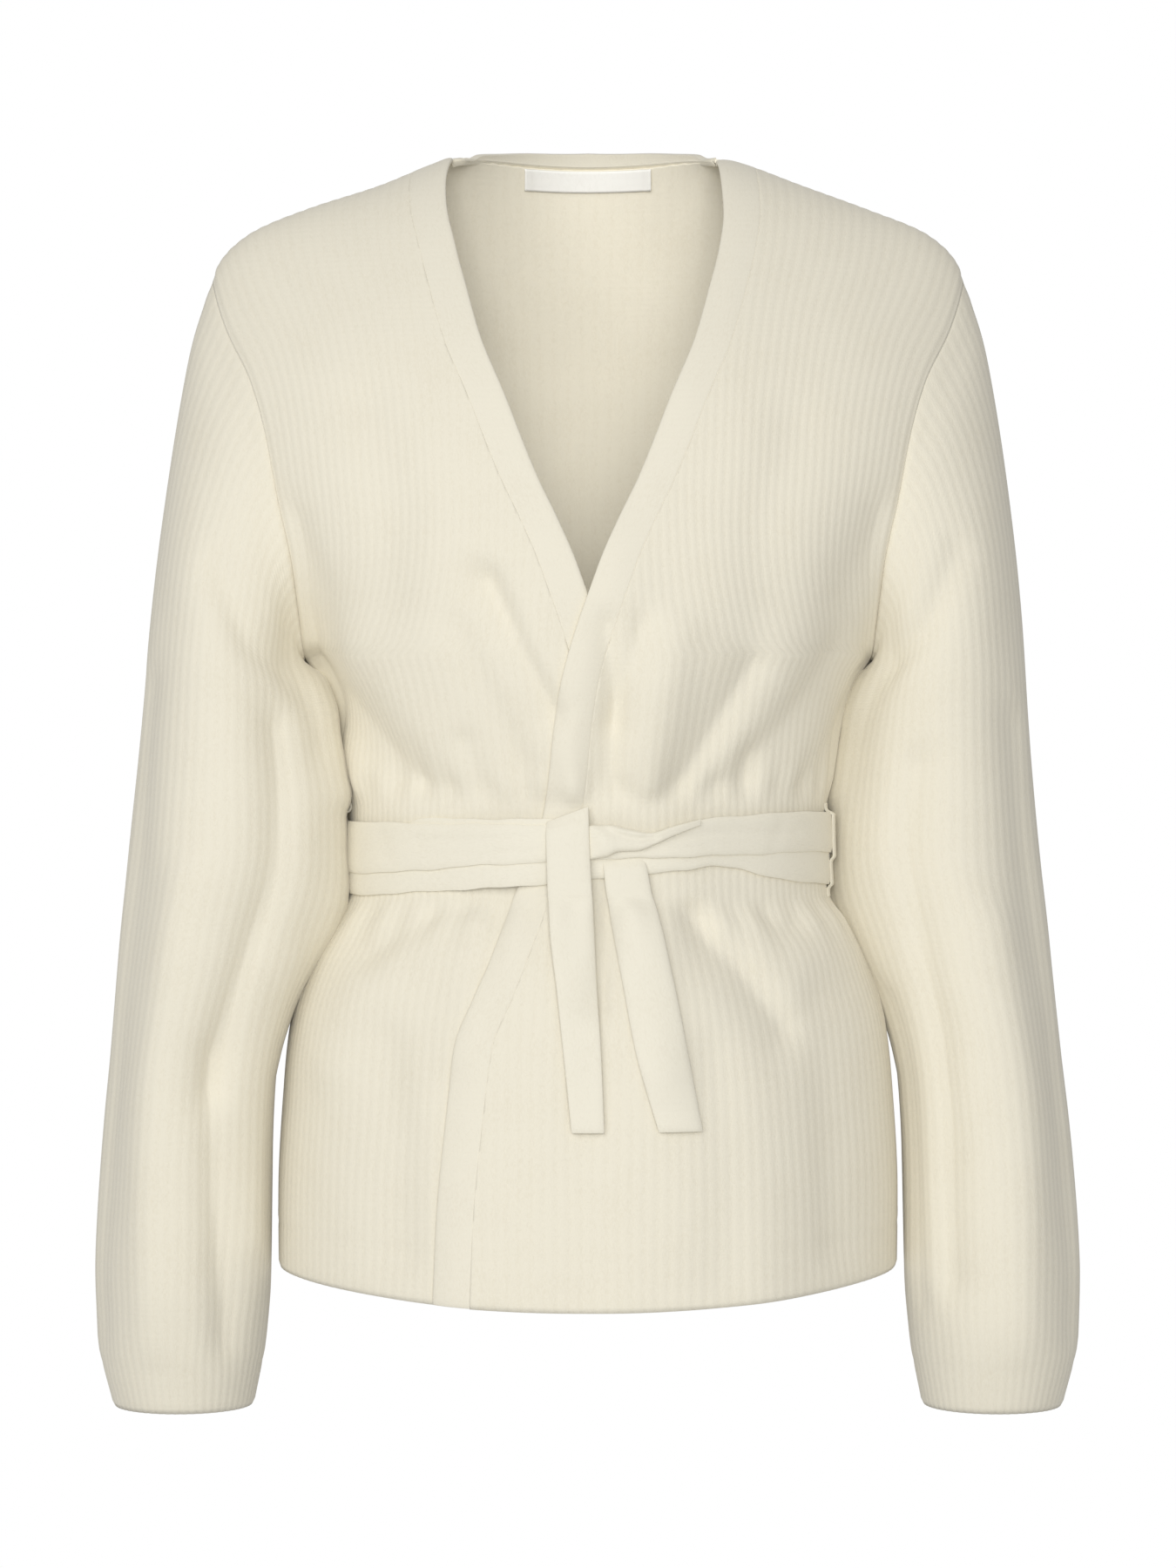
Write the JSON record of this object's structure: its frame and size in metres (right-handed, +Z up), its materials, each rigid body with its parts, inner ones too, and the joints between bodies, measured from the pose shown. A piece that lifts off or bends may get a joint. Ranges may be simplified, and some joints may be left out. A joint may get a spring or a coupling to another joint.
{
  "type": "wrap cardigan",
  "caption": "Ribbed wool wrap cardigan with a V neck, long wide sleeves and a tied belt, hollow and filled out as worn.",
  "frame": {"origin": "the middle of the neck opening, level with the high shoulder points, where the wearer's shoulders hold the garment", "axes": "+Z up along the body, -Y to the front, +X to the wearer's left"},
  "size_m": [0.5128, 0.2375, 0.6598],
  "materials": {
    "wool_rib": "soft brushed rib knit, matt",
    "wool_plain": "smooth brushed knit, matt",
    "belt": "smooth fine knit, matt",
    "label": "woven ribbon, matt, bare"
  },
  "bodies": {
    "root": {"back": "wool_rib", "front_left": "wool_rib", "front_right": "wool_rib", "sleeve_left": "wool_rib", "sleeve_right": "wool_rib", "band_left": "wool_plain", "band_right": "wool_plain", "neck_band": "wool_plain", "belt_lower": "belt", "belt_upper": "belt", "belt_knot": "belt", "tail_right": "belt", "tail_left": "belt", "loop_left": "belt", "loop_right": "belt", "label": "label"}
  },
  "joints": []
}
